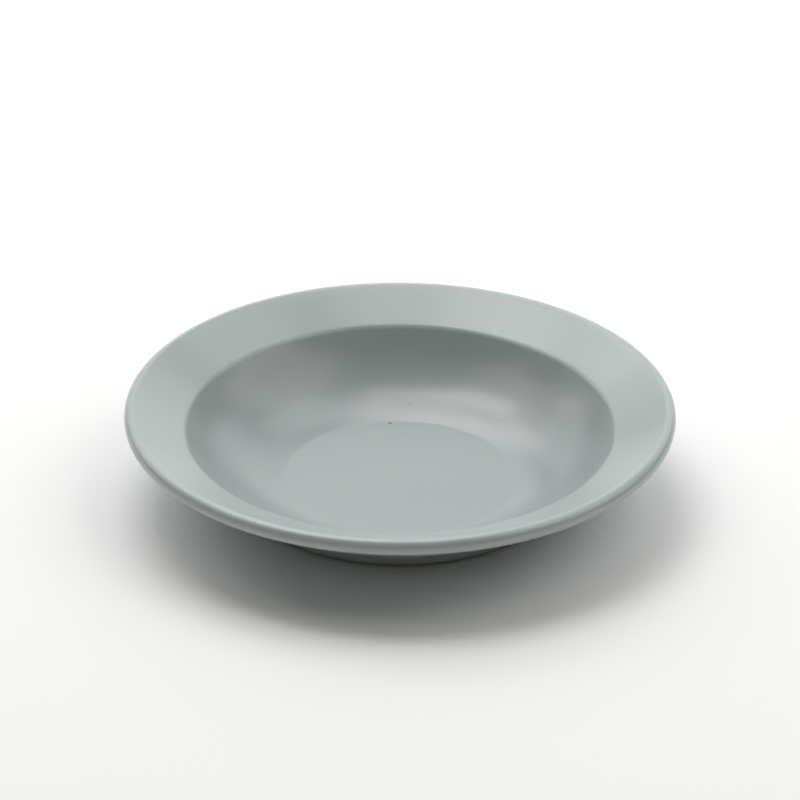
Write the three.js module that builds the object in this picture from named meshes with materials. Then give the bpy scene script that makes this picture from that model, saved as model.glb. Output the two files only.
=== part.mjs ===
import * as THREE from 'three';

// Round deep plate of glazed stoneware: a flat well floor, a rounded wall, a sloping rim with a rolled lip,
// and a low foot ring whose bearing face is left bare. Millimetres, +Z up.
// The origin is the centre of the bearing face.

const DEGREE = Math.PI / 180;

// Well
const FLOOR_RADIUS = 45.8;
const COVE_RADIUS = 10;
const COVE_ANGLE = 8 * DEGREE;
const WALL_RADIUS = 57.5;
const WALL_ANGLE = 53 * DEGREE;
const WALL_THICKNESS = 5;
const BASE_THICKNESS = 2.9;

// Rim and lip
const SHOULDER_RADIUS = 5;
const RIM_SLOPE = 23.4 * DEGREE;
const RIM_LENGTH = 20.4;
const LIP_TOP_RADIUS = 3;
const LIP_SIDE_RADIUS = 3.2;
const UNDER_RIM_SLOPE = 19 * DEGREE;
const KNEE_RADIUS = 8;

// Foot ring
const FOOT_HEIGHT = 4.4;
const FOOT_WIDTH = 5;
const FOOT_FILLET = 1.5;
const FOOT_OUTER_EDGE_RADIUS = 1.4;
const FOOT_INNER_EDGE_RADIUS = 0.6;
const FOOT_RECESS = 0.9;

// Glaze
const GLAZE_THICKNESS = 0.4;
const BOND_GAP = 0.05;
const BARE_FOOT_BAND = 0.4;
const BARE_RECESS_MARGIN = 0.8;

// Fineness of the turned surfaces
const SEGMENTS = 60;
const STEPS = { cove: 2, wall: 5, shoulder: 3, lipTop: 7, lipSide: 5, knee: 3, bowl: 3, fillet: 2, edge: 3 };

const direction = (angle) => new THREE.Vector2(Math.cos(angle), Math.sin(angle));
const bearing = (from, to) => Math.atan2(to.y - from.y, to.x - from.x);

function arc(centre, radius, from, to, steps) {
  const points = [];
  for (let i = 0; i <= steps; i += 1) {
    const angle = from + ((to - from) * i) / steps;
    points.push(direction(angle).multiplyScalar(radius).add(centre));
  }
  return points;
}

// Centres of the arcs in the half section. Every arc is tangent to its neighbours,
// so a parallel surface keeps the centres and changes only the radii.
const FLOOR_HEIGHT = FOOT_RECESS + BASE_THICKNESS;
const COVE_END = COVE_ANGLE - 90 * DEGREE;
const WALL_END = WALL_ANGLE - 90 * DEGREE;
const RIM_NORMAL = RIM_SLOPE + 90 * DEGREE;
const UNDER_RIM_NORMAL = UNDER_RIM_SLOPE - 90 * DEGREE;
const BOWL_RADIUS = WALL_RADIUS + WALL_THICKNESS;

const coveCentre = new THREE.Vector2(FLOOR_RADIUS, FLOOR_HEIGHT + COVE_RADIUS);
const wallCentre = direction(COVE_END).multiplyScalar(COVE_RADIUS - WALL_RADIUS).add(coveCentre);
const shoulderCentre = direction(WALL_END).multiplyScalar(WALL_RADIUS + SHOULDER_RADIUS).add(wallCentre);
const lipTopCentre = shoulderCentre.clone()
  .addScaledVector(direction(RIM_NORMAL), SHOULDER_RADIUS - LIP_TOP_RADIUS)
  .addScaledVector(direction(RIM_SLOPE), RIM_LENGTH);
const lipSideCentre = new THREE.Vector2(lipTopCentre.x + LIP_TOP_RADIUS - LIP_SIDE_RADIUS, lipTopCentre.y);

// The knee under the rim is tangent to the straight underside of the rim and to the round outside of the bowl.
function findKneeCentre() {
  const start = lipSideCentre.clone()
    .addScaledVector(direction(UNDER_RIM_NORMAL), LIP_SIDE_RADIUS + KNEE_RADIUS);
  const inward = direction(UNDER_RIM_SLOPE).negate();
  const offset = start.clone().sub(wallCentre);
  const along = offset.dot(inward);
  const reach = BOWL_RADIUS + KNEE_RADIUS;
  const run = -along - Math.sqrt(along * along - offset.lengthSq() + reach * reach);
  return start.addScaledVector(inward, run);
}
const kneeCentre = findKneeCentre();

// The foot ring stands where the outside of the bowl is as high as the ring.
const bowlDrop = wallCentre.y - FOOT_HEIGHT;
const FOOT_RADIUS = wallCentre.x + Math.sqrt(BOWL_RADIUS * BOWL_RADIUS - bowlDrop * bowlDrop);
const filletReach = BOWL_RADIUS + FOOT_FILLET;
const filletRun = FOOT_RADIUS + FOOT_FILLET - wallCentre.x;
const filletCentre = new THREE.Vector2(
  FOOT_RADIUS + FOOT_FILLET,
  wallCentre.y - Math.sqrt(filletReach * filletReach - filletRun * filletRun),
);
const GLAZE_LINE_HEIGHT = FOOT_OUTER_EDGE_RADIUS + BARE_FOOT_BAND;

// Half section of everything that is glazed, from the middle of the well over the lip and down the outside
// of the foot ring to the glaze line. The inset is measured inwards from the finished surface.
function glazedSection(inset) {
  return [
    new THREE.Vector2(0, FLOOR_HEIGHT - inset),
    ...arc(coveCentre, COVE_RADIUS + inset, -90 * DEGREE, COVE_END, STEPS.cove),
    ...arc(wallCentre, WALL_RADIUS + inset, COVE_END, WALL_END, STEPS.wall).slice(1),
    ...arc(shoulderCentre, SHOULDER_RADIUS - inset, WALL_END + Math.PI, RIM_NORMAL, STEPS.shoulder).slice(1),
    ...arc(lipTopCentre, LIP_TOP_RADIUS - inset, RIM_NORMAL, 0, STEPS.lipTop),
    ...arc(lipSideCentre, LIP_SIDE_RADIUS - inset, 0, UNDER_RIM_NORMAL, STEPS.lipSide).slice(1),
    ...arc(
      kneeCentre,
      KNEE_RADIUS + inset,
      UNDER_RIM_NORMAL + Math.PI,
      bearing(kneeCentre, wallCentre),
      STEPS.knee,
    ),
    ...arc(
      wallCentre,
      BOWL_RADIUS - inset,
      bearing(wallCentre, kneeCentre),
      bearing(wallCentre, filletCentre),
      STEPS.bowl,
    ).slice(1),
    ...arc(filletCentre, FOOT_FILLET + inset, bearing(filletCentre, wallCentre), Math.PI, STEPS.fillet).slice(1),
    new THREE.Vector2(FOOT_RADIUS - inset, GLAZE_LINE_HEIGHT),
  ];
}

// The clay lies under the glaze by the glaze's thickness and the bond between them.
const CLAY_INSET = GLAZE_THICKNESS + BOND_GAP;
const FOOT_INNER_RADIUS = FOOT_RADIUS - FOOT_WIDTH;
const RECESS_CEILING = FOOT_RECESS + CLAY_INSET;

function footSection() {
  const outer = new THREE.Vector2(FOOT_RADIUS - CLAY_INSET - FOOT_OUTER_EDGE_RADIUS, FOOT_OUTER_EDGE_RADIUS);
  const inner = new THREE.Vector2(FOOT_INNER_RADIUS + FOOT_INNER_EDGE_RADIUS, FOOT_INNER_EDGE_RADIUS);
  return [
    new THREE.Vector2(0, RECESS_CEILING),
    new THREE.Vector2(FOOT_INNER_RADIUS, RECESS_CEILING),
    ...arc(inner, FOOT_INNER_EDGE_RADIUS, Math.PI, 270 * DEGREE, STEPS.edge),
    ...arc(outer, FOOT_OUTER_EDGE_RADIUS, -90 * DEGREE, 0, STEPS.edge),
  ];
}

function turned(name, section, color, roughness) {
  const geometry = new THREE.LatheGeometry(section, SEGMENTS);
  geometry.rotateX(90 * DEGREE);
  const material = new THREE.MeshStandardMaterial({ color, roughness, metalness: 0 });
  const mesh = new THREE.Mesh(geometry, material);
  mesh.name = name;
  return mesh;
}

const CLAY_COLOR = 0x8e887e;
const GLAZE_COLOR = 0xa1a9a8;

// Fired clay shell with its foot ring.
const claySection = [...footSection(), ...glazedSection(CLAY_INSET).reverse()];
const stonewareBody = turned('stoneware_body', claySection, CLAY_COLOR, 0.8);

// Satin glaze over the well, the rim, the lip, the underside and the outside of the foot ring.
const coatSection = [...glazedSection(GLAZE_THICKNESS), ...glazedSection(0).reverse()];
const glazeCoat = turned('glaze_coat', coatSection, GLAZE_COLOR, 0.3);

// The separate pool of glaze inside the foot ring.
const poolRadius = FOOT_INNER_RADIUS - BARE_RECESS_MARGIN;
const poolSection = [
  new THREE.Vector2(0, FOOT_RECESS),
  new THREE.Vector2(poolRadius, FOOT_RECESS),
  new THREE.Vector2(poolRadius, FOOT_RECESS + GLAZE_THICKNESS),
  new THREE.Vector2(0, FOOT_RECESS + GLAZE_THICKNESS),
];
const footRecessGlaze = turned('foot_recess_glaze', poolSection, GLAZE_COLOR, 0.35);

const plate = new THREE.Group();
plate.name = 'deep_plate';
plate.add(stonewareBody, glazeCoat, footRecessGlaze);

export default plate;
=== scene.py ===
import math

import bpy
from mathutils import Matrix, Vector


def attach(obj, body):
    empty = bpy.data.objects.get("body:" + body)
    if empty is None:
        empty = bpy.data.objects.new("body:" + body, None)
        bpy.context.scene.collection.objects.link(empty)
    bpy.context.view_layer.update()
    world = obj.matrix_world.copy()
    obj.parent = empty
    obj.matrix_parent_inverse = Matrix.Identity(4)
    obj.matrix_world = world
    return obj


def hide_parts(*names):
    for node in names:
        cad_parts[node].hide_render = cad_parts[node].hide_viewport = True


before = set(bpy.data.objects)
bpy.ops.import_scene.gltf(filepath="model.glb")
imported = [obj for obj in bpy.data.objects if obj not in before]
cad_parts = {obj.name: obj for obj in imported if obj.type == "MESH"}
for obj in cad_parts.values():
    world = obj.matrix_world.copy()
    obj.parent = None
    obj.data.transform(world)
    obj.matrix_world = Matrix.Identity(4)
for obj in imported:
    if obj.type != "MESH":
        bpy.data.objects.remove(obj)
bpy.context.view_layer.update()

MM = 0.001

# Half section of the plate in millimetres, as in the solids.
FLOOR_RADIUS = 45.8
COVE_RADIUS = 10.0
COVE_ANGLE = math.radians(8.0)
WALL_RADIUS = 57.5
WALL_ANGLE = math.radians(53.0)
WALL_THICKNESS = 5.0
BASE_THICKNESS = 2.9
SHOULDER_RADIUS = 5.0
RIM_SLOPE = math.radians(23.4)
RIM_LENGTH = 20.4
LIP_TOP_RADIUS = 3.0
LIP_SIDE_RADIUS = 3.2
UNDER_RIM_SLOPE = math.radians(19.0)
KNEE_RADIUS = 8.0
FOOT_HEIGHT = 4.4
FOOT_WIDTH = 5.0
FOOT_FILLET = 1.5
FOOT_OUTER_EDGE_RADIUS = 1.4
FOOT_INNER_EDGE_RADIUS = 0.6
FOOT_RECESS = 0.9
GLAZE_THICKNESS = 0.4
BOND_GAP = 0.05
BARE_FOOT_BAND = 0.4
BARE_RECESS_MARGIN = 0.8

QUARTER = math.pi / 2

# Fineness of the turned surfaces
SEGMENTS = 240
STEPS = {"floor": 10, "cove": 12, "wall": 16, "shoulder": 8, "rim": 8, "lip_top": 14, "lip_side": 12, "under": 5,
         "knee": 8, "bowl": 10, "fillet": 6, "foot": 3, "inner_edge": 6, "outer_edge": 8, "pool": 6, "pool_edge": 5}

# Unevenness that drying and firing leave: amplitude in millimetres, waves in a turn, phase.
OUT_OF_ROUND = [(0.05, 2, 1.9), (0.02, 5, 0.0)]
LIP_WAVE = [(0.07, 2, 0.6), (0.05, 3, -1.1)]
GLAZE_LINE_WAVE = [(0.12, 7, -QUARTER), (0.08, 17, 1.0 - QUARTER), (0.05, 41, -QUARTER)]
FULL_WARP_HEIGHT = 20.0


def direction(angle):
    return Vector((math.cos(angle), math.sin(angle)))


def bearing(start, end):
    return math.atan2(end.y - start.y, end.x - start.x)


def arc(centre, radius, start, end, steps):
    return [centre + radius * direction(start + (end - start) * i / steps) for i in range(steps + 1)]


def line(start, end, steps):
    return [start.lerp(end, i / steps) for i in range(steps + 1)]


FLOOR_HEIGHT = FOOT_RECESS + BASE_THICKNESS
COVE_END = COVE_ANGLE - QUARTER
WALL_END = WALL_ANGLE - QUARTER
RIM_NORMAL = RIM_SLOPE + QUARTER
UNDER_RIM_NORMAL = UNDER_RIM_SLOPE - QUARTER
BOWL_RADIUS = WALL_RADIUS + WALL_THICKNESS

cove_centre = Vector((FLOOR_RADIUS, FLOOR_HEIGHT + COVE_RADIUS))
wall_centre = cove_centre + (COVE_RADIUS - WALL_RADIUS) * direction(COVE_END)
shoulder_centre = wall_centre + (WALL_RADIUS + SHOULDER_RADIUS) * direction(WALL_END)
lip_top_centre = (shoulder_centre + (SHOULDER_RADIUS - LIP_TOP_RADIUS) * direction(RIM_NORMAL)
                  + RIM_LENGTH * direction(RIM_SLOPE))
lip_side_centre = lip_top_centre + Vector((LIP_TOP_RADIUS - LIP_SIDE_RADIUS, 0.0))


def find_knee_centre():
    start = lip_side_centre + (LIP_SIDE_RADIUS + KNEE_RADIUS) * direction(UNDER_RIM_NORMAL)
    inward = -direction(UNDER_RIM_SLOPE)
    offset = start - wall_centre
    along = offset.dot(inward)
    reach = BOWL_RADIUS + KNEE_RADIUS
    run = -along - math.sqrt(along * along - offset.length_squared + reach * reach)
    return start + run * inward


knee_centre = find_knee_centre()
bowl_drop = wall_centre.y - FOOT_HEIGHT
FOOT_RADIUS = wall_centre.x + math.sqrt(BOWL_RADIUS ** 2 - bowl_drop ** 2)
fillet_run = FOOT_RADIUS + FOOT_FILLET - wall_centre.x
fillet_centre = Vector((FOOT_RADIUS + FOOT_FILLET,
                        wall_centre.y - math.sqrt((BOWL_RADIUS + FOOT_FILLET) ** 2 - fillet_run ** 2)))
RADIUS = lip_top_centre.x + LIP_TOP_RADIUS
GLAZE_LINE_HEIGHT = FOOT_OUTER_EDGE_RADIUS + BARE_FOOT_BAND


def glazed_section(inset, low):
    """From the middle of the well over the lip and down the outside of the foot ring to the height low."""
    floor_edge = Vector((FLOOR_RADIUS, FLOOR_HEIGHT - inset))
    rim_start = shoulder_centre + (SHOULDER_RADIUS - inset) * direction(RIM_NORMAL)
    rim_end = lip_top_centre + (LIP_TOP_RADIUS - inset) * direction(RIM_NORMAL)
    under_start = lip_side_centre + (LIP_SIDE_RADIUS - inset) * direction(UNDER_RIM_NORMAL)
    under_end = knee_centre - (KNEE_RADIUS + inset) * direction(UNDER_RIM_NORMAL)
    foot_top = Vector((FOOT_RADIUS - inset, fillet_centre.y))
    runs = [
        line(Vector((0.0, FLOOR_HEIGHT - inset)), floor_edge, STEPS["floor"]),
        arc(cove_centre, COVE_RADIUS + inset, -QUARTER, COVE_END, STEPS["cove"]),
        arc(wall_centre, WALL_RADIUS + inset, COVE_END, WALL_END, STEPS["wall"]),
        arc(shoulder_centre, SHOULDER_RADIUS - inset, WALL_END + math.pi, RIM_NORMAL, STEPS["shoulder"]),
        line(rim_start, rim_end, STEPS["rim"]),
        arc(lip_top_centre, LIP_TOP_RADIUS - inset, RIM_NORMAL, 0.0, STEPS["lip_top"]),
        arc(lip_side_centre, LIP_SIDE_RADIUS - inset, 0.0, UNDER_RIM_NORMAL, STEPS["lip_side"]),
        line(under_start, under_end, STEPS["under"]),
        arc(knee_centre, KNEE_RADIUS + inset, UNDER_RIM_NORMAL + math.pi, bearing(knee_centre, wall_centre),
            STEPS["knee"]),
        arc(wall_centre, BOWL_RADIUS - inset, bearing(wall_centre, knee_centre),
            bearing(wall_centre, fillet_centre), STEPS["bowl"]),
        arc(fillet_centre, FOOT_FILLET + inset, bearing(fillet_centre, wall_centre), math.pi, STEPS["fillet"]),
        line(foot_top, Vector((FOOT_RADIUS - inset, low)), STEPS["foot"]),
    ]
    points = [runs[0][0]]
    for run in runs:
        points.extend(run[1:])
    return points


def wave(terms, angle):
    return sum(size * math.cos(count * angle + phase) for size, count, phase in terms)


def warp(point, angle):
    """The unevenness grows from nothing at the foot to its full size at the lip."""
    r, z = point
    share = (r / RADIUS) ** 2 * min(z / FULL_WARP_HEIGHT, 1.0)
    return r + share * wave(OUT_OF_ROUND, angle), z + share * wave(LIP_WAVE, angle)


def turned(name, section, edge_wave=None):
    """A closed section from axis to axis, turned about Z. The wave moves the marked points up or down."""
    vertices = []
    rings = []
    for index, point in enumerate(section):
        if point.x < 1e-6:
            rings.append([len(vertices)])
            vertices.append((0.0, 0.0, point.y * MM))
            continue
        rings.append(list(range(len(vertices), len(vertices) + SEGMENTS)))
        for k in range(SEGMENTS):
            angle = 2 * math.pi * k / SEGMENTS
            r, z = warp(point, angle)
            if edge_wave is not None:
                z += edge_wave(index, angle)
            vertices.append((r * MM * math.cos(angle), r * MM * math.sin(angle), z * MM))
    faces = []
    for lower, upper in zip(rings, rings[1:]):
        for k in range(SEGMENTS):
            after = (k + 1) % SEGMENTS
            if len(lower) == 1:
                faces.append((lower[0], upper[after], upper[k]))
            elif len(upper) == 1:
                faces.append((lower[k], lower[after], upper[0]))
            else:
                faces.append((lower[k], lower[after], upper[after], upper[k]))
    mesh = bpy.data.meshes.new(name)
    mesh.from_pydata(vertices, [], faces)
    mesh.update()
    mesh.polygons.foreach_set("use_smooth", [True] * len(mesh.polygons))
    piece = bpy.data.objects.new(name, mesh)
    bpy.context.scene.collection.objects.link(piece)
    return piece


# Materials


class Graph:
    """A material's nodes, made and linked in short calls."""

    def __init__(self, name):
        self.material = bpy.data.materials.new(name)
        self.material.use_nodes = True
        self.tree = self.material.node_tree
        self.shader = self.tree.nodes["Principled BSDF"]
        self.position = self.node("ShaderNodeTexCoord").outputs["Object"]

    def node(self, kind, **settings):
        made = self.tree.nodes.new(kind)
        for key, value in settings.items():
            setattr(made, key, value)
        return made

    def set(self, socket, value):
        if isinstance(value, bpy.types.NodeSocket):
            self.tree.links.new(value, socket)
        else:
            socket.default_value = value

    def math(self, operation, a, b):
        made = self.node("ShaderNodeMath", operation=operation)
        self.set(made.inputs[0], a)
        self.set(made.inputs[1], b)
        return made.outputs[0]

    def noise(self, scale, detail=3.0, roughness=0.5):
        made = self.node("ShaderNodeTexNoise")
        self.set(made.inputs["Vector"], self.position)
        self.set(made.inputs["Scale"], scale)
        self.set(made.inputs["Detail"], detail)
        self.set(made.inputs["Roughness"], roughness)
        return made.outputs["Fac"]

    def remap(self, value, low, high, to_low, to_high, smooth=False):
        made = self.node("ShaderNodeMapRange")
        if smooth:
            made.interpolation_type = "SMOOTHSTEP"
        for key, number in (("Value", value), ("From Min", low), ("From Max", high),
                            ("To Min", to_low), ("To Max", to_high)):
            self.set(made.inputs[key], number)
        return made.outputs["Result"]

    def mix(self, share, a, b):
        made = self.node("ShaderNodeMix", data_type="RGBA")
        self.set(made.inputs["Factor"], share)
        self.set(made.inputs["A"], a)
        self.set(made.inputs["B"], b)
        return made.outputs["Result"]

    def spot(self, centre, radius):
        """1 inside a round spot about a point in millimetres, fading at its edge."""
        made = self.node("ShaderNodeVectorMath", operation="DISTANCE")
        self.set(made.inputs[0], self.position)
        self.set(made.inputs[1], Vector(centre) * MM)
        return self.remap(made.outputs["Value"], radius * 0.5 * MM, radius * MM, 1.0, 0.0, smooth=True)

    def bump(self, height, strength, distance):
        made = self.node("ShaderNodeBump")
        self.set(made.inputs["Height"], height)
        self.set(made.inputs["Strength"], strength)
        self.set(made.inputs["Distance"], distance)
        return made.outputs["Normal"]


# The well's glaze is darker than the rim's: painted shade for the light the well's walls lose.
GLAZE = (0.328, 0.367, 0.367, 1.0)
GLAZE_POOLED = (0.320, 0.359, 0.360, 1.0)
GLAZE_RIM_PAINTED_LIGHT = (0.388, 0.438, 0.437, 1.0)
# Lighter at the lip: thinner glaze and a painted highlight along the edge.
GLAZE_THIN_AND_HIGHLIGHT = (0.394, 0.443, 0.442, 1.0)
IRON = (0.06, 0.055, 0.05, 1.0)
# The clay's colour is a guess, made dark so the bare band at the foot shows a dark line: painted shade for the
# contact shadow.
CLAY_WITH_CONTACT_SHADE = (0.27, 0.245, 0.21, 1.0)
CLAY_DARK_WITH_CONTACT_SHADE = (0.21, 0.19, 0.16, 1.0)

# Heights in millimetres between which the colour grows lighter: up to the rim as painted light, standing in for the
# shade in the well, and up to the lip as thinner glaze with a painted highlight.
SHOULDER_LOW, SHOULDER_HIGH = 18.0, 29.0
LIP_LOW, LIP_HIGH = 34.6, 36.0
LIP_SHARE = 0.6
HEIGHT_WANDER = 1.2

# The middle range of a noise, and the noises' scales in waves per metre.
NOISE_LOW, NOISE_HIGH = 0.3, 0.7
CLOUD_SCALE = 28.0
GLOSS_SCALE = 45.0
WANDER_SCALE = 60.0
RIPPLE_SCALE = 130.0
GRAIN_SCALE = 900.0
GRAIN_SHARE = 0.25
CLAY_CLOUD_SCALE = 160.0
CLAY_GLOSS_SCALE = 700.0
CLAY_GRAIN_SCALE = 1500.0
GROG_SCALE = 1800.0
GROG_SHARE = 0.55

# Lowest and highest roughness, and the strength and depth in metres of the relief.
GLAZE_ROUGHNESS = (0.215, 0.265)
GLAZE_RELIEF = (0.12, 0.0004)
CLAY_ROUGHNESS = (0.72, 0.9)
CLAY_RELIEF = (0.5, 0.0003)


def glaze_material(name, specks):
    graph = Graph(name)
    cloud = graph.remap(graph.noise(CLOUD_SCALE), NOISE_LOW, NOISE_HIGH, 0.0, 1.0, smooth=True)
    colour = graph.mix(cloud, GLAZE, GLAZE_POOLED)
    separate = graph.node("ShaderNodeSeparateXYZ")
    graph.set(separate.inputs[0], graph.position)
    wander = graph.math("MULTIPLY", graph.math("SUBTRACT", graph.noise(WANDER_SCALE), 0.5), HEIGHT_WANDER * MM)
    height = graph.math("ADD", wander, separate.outputs["Z"])
    # Lighter towards the rim: painted light, with the well kept darker as painted shade.
    rim = graph.remap(height, SHOULDER_LOW * MM, SHOULDER_HIGH * MM, 0.0, 1.0, smooth=True)
    colour = graph.mix(rim, colour, GLAZE_RIM_PAINTED_LIGHT)
    # Lighter at the lip: thinner glaze, partly a painted highlight.
    edge = graph.remap(height, LIP_LOW * MM, LIP_HIGH * MM, 0.0, LIP_SHARE, smooth=True)
    colour = graph.mix(edge, colour, GLAZE_THIN_AND_HIGHLIGHT)
    for centre, radius, share in specks:
        spot = graph.math("MULTIPLY", graph.spot(centre, radius), share)
        colour = graph.mix(spot, colour, IRON)
    graph.set(graph.shader.inputs["Base Color"], colour)
    roughness = graph.remap(graph.noise(GLOSS_SCALE), NOISE_LOW, NOISE_HIGH, *GLAZE_ROUGHNESS)
    graph.set(graph.shader.inputs["Roughness"], roughness)
    grain = graph.math("MULTIPLY", graph.noise(GRAIN_SCALE, detail=2.0), GRAIN_SHARE)
    ripple = graph.math("ADD", grain, graph.noise(RIPPLE_SCALE, detail=1.0))
    graph.set(graph.shader.inputs["Normal"], graph.bump(ripple, *GLAZE_RELIEF))
    return graph.material


def clay_material(name):
    graph = Graph(name)
    cloud = graph.remap(graph.noise(CLAY_CLOUD_SCALE, detail=6.0, roughness=0.65), 0.35, NOISE_HIGH, 0.0, 1.0)
    # Dark clay: partly painted shade along the foot's contact.
    colour = graph.mix(cloud, CLAY_WITH_CONTACT_SHADE, CLAY_DARK_WITH_CONTACT_SHADE)
    grog = graph.remap(graph.noise(GROG_SCALE, detail=2.0), 0.68, 0.74, 0.0, GROG_SHARE, smooth=True)
    colour = graph.mix(grog, colour, IRON)
    graph.set(graph.shader.inputs["Base Color"], colour)
    roughness = graph.remap(graph.noise(CLAY_GLOSS_SCALE), NOISE_LOW, NOISE_HIGH, *CLAY_ROUGHNESS)
    graph.set(graph.shader.inputs["Roughness"], roughness)
    grain = graph.noise(CLAY_GRAIN_SCALE, detail=5.0, roughness=0.7)
    graph.set(graph.shader.inputs["Normal"], graph.bump(grain, *CLAY_RELIEF))
    return graph.material


# Pieces

# Iron specks in the glaze: centre and radius in millimetres, and strength.
SPECKS = [((-4.05, 44.86, 3.8), 1.0, 0.7), ((4.11, 57.39, 6.35), 0.7, 0.25)]
glaze = glaze_material("satin_glaze", SPECKS)
recess_glaze = glaze_material("recess_satin_glaze", [])
clay = clay_material("stoneware_clay_contact_shade")

coat_inner = glazed_section(GLAZE_THICKNESS, GLAZE_LINE_HEIGHT)
coat_outer = glazed_section(0.0, GLAZE_LINE_HEIGHT)
low_inner = len(coat_inner) - 1
low_outer = len(coat_inner)


def glaze_line(index, angle):
    if index not in (low_inner, low_outer):
        return 0.0
    return wave(GLAZE_LINE_WAVE, angle)


coat = turned("glaze_coat_fine", coat_inner + coat_outer[::-1], glaze_line)
coat.data.materials.append(glaze)
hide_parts("glaze_coat")
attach(coat, "root")

CLAY_INSET = GLAZE_THICKNESS + BOND_GAP
FOOT_INNER_RADIUS = FOOT_RADIUS - FOOT_WIDTH
edge_outer = Vector((FOOT_RADIUS - CLAY_INSET - FOOT_OUTER_EDGE_RADIUS, FOOT_OUTER_EDGE_RADIUS))
edge_inner = Vector((FOOT_INNER_RADIUS + FOOT_INNER_EDGE_RADIUS, FOOT_INNER_EDGE_RADIUS))
ceiling = FOOT_RECESS + CLAY_INSET
CEILING_MARGIN = 6.0
foot = [Vector((r, ceiling)) for r in (0.0, FOOT_INNER_RADIUS - CEILING_MARGIN, FOOT_INNER_RADIUS)]
foot += arc(edge_inner, FOOT_INNER_EDGE_RADIUS, math.pi, 3 * QUARTER, STEPS["inner_edge"])
foot += arc(edge_outer, FOOT_OUTER_EDGE_RADIUS, -QUARTER, 0.0, STEPS["outer_edge"])
body = turned("stoneware_body_fine", foot + glazed_section(CLAY_INSET, GLAZE_LINE_HEIGHT)[::-1])
body.data.materials.append(clay)
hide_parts("stoneware_body")
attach(body, "root")

POOL_RADIUS = FOOT_INNER_RADIUS - BARE_RECESS_MARGIN
pool_edge = Vector((POOL_RADIUS - GLAZE_THICKNESS, FOOT_RECESS + GLAZE_THICKNESS))
pool = line(Vector((0.0, FOOT_RECESS)), Vector((POOL_RADIUS - GLAZE_THICKNESS, FOOT_RECESS)), STEPS["pool"])
pool += arc(pool_edge, GLAZE_THICKNESS, -QUARTER, 0.0, STEPS["pool_edge"])[1:]
pool += [Vector((0.0, FOOT_RECESS + GLAZE_THICKNESS))]
recess = turned("foot_recess_glaze_fine", pool)
recess.data.materials.append(recess_glaze)
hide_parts("foot_recess_glaze")
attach(recess, "root")


# Floor, light and camera

FLOOR_WHITE = (0.965, 0.97, 0.965, 1.0)
FLOOR_HALF = 4
floor_mesh = bpy.data.meshes.new("studio_floor")
floor_corners = [(x * FLOOR_HALF, y * FLOOR_HALF, 0) for x, y in ((-1, -1), (1, -1), (1, 1), (-1, 1))]
floor_mesh.from_pydata(floor_corners, [], [(0, 1, 2, 3)])
floor_mesh.update()
floor = bpy.data.objects.new("studio_floor", floor_mesh)
bpy.context.scene.collection.objects.link(floor)
floor_graph = Graph("studio_floor")
floor_graph.set(floor_graph.shader.inputs["Base Color"], FLOOR_WHITE)
floor_graph.set(floor_graph.shader.inputs["Roughness"], 0.9)
floor_graph.set(floor_graph.shader.inputs["Specular IOR Level"], 0.0)
floor_mesh.materials.append(floor_graph.material)


LAMP_DISTANCE = 3.0


def lamp(name, azimuth, elevation, width, height, radiance):
    """A soft box facing the plate. Azimuth runs from behind the plate, positive to the right."""
    azimuth, elevation = math.radians(azimuth), math.radians(elevation)
    data = bpy.data.lights.new(name, "AREA")
    data.shape = "RECTANGLE"
    data.size = width
    data.size_y = height
    data.energy = radiance * math.pi * width * height
    made = bpy.data.objects.new(name, data)
    bpy.context.scene.collection.objects.link(made)
    place = Vector((math.sin(azimuth) * math.cos(elevation), math.cos(azimuth) * math.cos(elevation),
                    math.sin(elevation)))
    made.location = LAMP_DISTANCE * place
    made.rotation_euler = place.to_track_quat("Z", "Y").to_euler()


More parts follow.
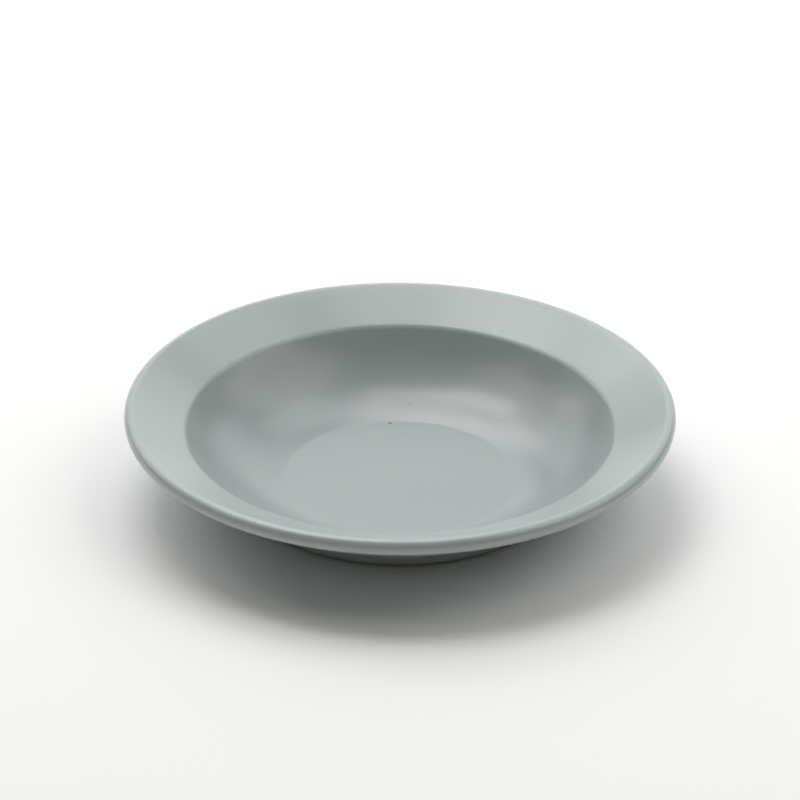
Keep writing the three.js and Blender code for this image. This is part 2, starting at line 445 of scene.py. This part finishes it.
# Name, azimuth and elevation in degrees, width and height in metres, radiance.
LAMPS = [
    ("key_box", -42, 63, 0.80, 1.10, 5.8),
    ("middle_box", -5, 57, 1.00, 0.70, 3.8),
    ("key_low_box", -14, 44, 1.30, 0.80, 3.8),
    ("key_left_box", -38, 43, 0.80, 0.85, 1.5),
    ("top_box", 0, 73, 0.95, 0.85, 3.6),
    ("right_back_box", 29, 54, 1.05, 1.20, 1.85),
    ("left_box", -60, 40, 0.90, 1.80, 1.2),
    ("back_left_panel", -38, 27, 1.90, 1.06, 1.45),
    ("back_panel", 15, 27, 3.00, 1.06, 1.4),
    ("low_back_panel", 0, 10, 4.00, 0.80, 0.96),
    ("right_panel", 82, 48, 2.48, 2.30, 1.65),
    ("left_panel", -84, 55, 1.20, 1.20, 1.4),
]
for settings in LAMPS:
    lamp(*settings)

# The world is a dim warm room above a white horizon.
ROOM = (0.085, 0.080, 0.068, 1.0)
HORIZON = (1.0, 1.0, 1.0, 1.0)
HORIZON_TOP = 0.1
world = bpy.data.worlds.new("studio")
bpy.context.scene.world = world
world.use_nodes = True
sky = world.node_tree
direction_out = sky.nodes.new("ShaderNodeTexCoord").outputs["Generated"]
split = sky.nodes.new("ShaderNodeSeparateXYZ")
sky.links.new(direction_out, split.inputs[0])
rise = sky.nodes.new("ShaderNodeMapRange")
rise.inputs["From Min"].default_value = 0.0
rise.inputs["From Max"].default_value = HORIZON_TOP
sky.links.new(split.outputs["Z"], rise.inputs["Value"])
blend = sky.nodes.new("ShaderNodeMix")
blend.data_type = "RGBA"
blend.inputs["A"].default_value = HORIZON
blend.inputs["B"].default_value = ROOM
sky.links.new(rise.outputs["Result"], blend.inputs["Factor"])
background = sky.nodes["Background"]
sky.links.new(blend.outputs["Result"], background.inputs["Color"])
background.inputs["Strength"].default_value = 1.0

ELEVATION = math.radians(29.39)
DISTANCE = 2.2
TILT_UP = math.radians(0.893)
TURN_LEFT = math.radians(0.24)
FOCAL_PIXELS = 5472
IMAGE_WIDTH = 800
SENSOR_WIDTH = 36.0
camera_data = bpy.data.cameras.new("camera")
camera_data.sensor_width = SENSOR_WIDTH
camera_data.lens = SENSOR_WIDTH * FOCAL_PIXELS / IMAGE_WIDTH
camera_data.clip_end = 50.0
camera = bpy.data.objects.new("camera", camera_data)
camera.location = (0.0, -DISTANCE * math.cos(ELEVATION), DISTANCE * math.sin(ELEVATION))
camera.rotation_mode = "ZXY"
camera.rotation_euler = (QUARTER - ELEVATION + TILT_UP, 0.0, TURN_LEFT)
bpy.context.scene.collection.objects.link(camera)
bpy.context.scene.camera = camera

bpy.context.scene.view_settings.view_transform = "Standard"
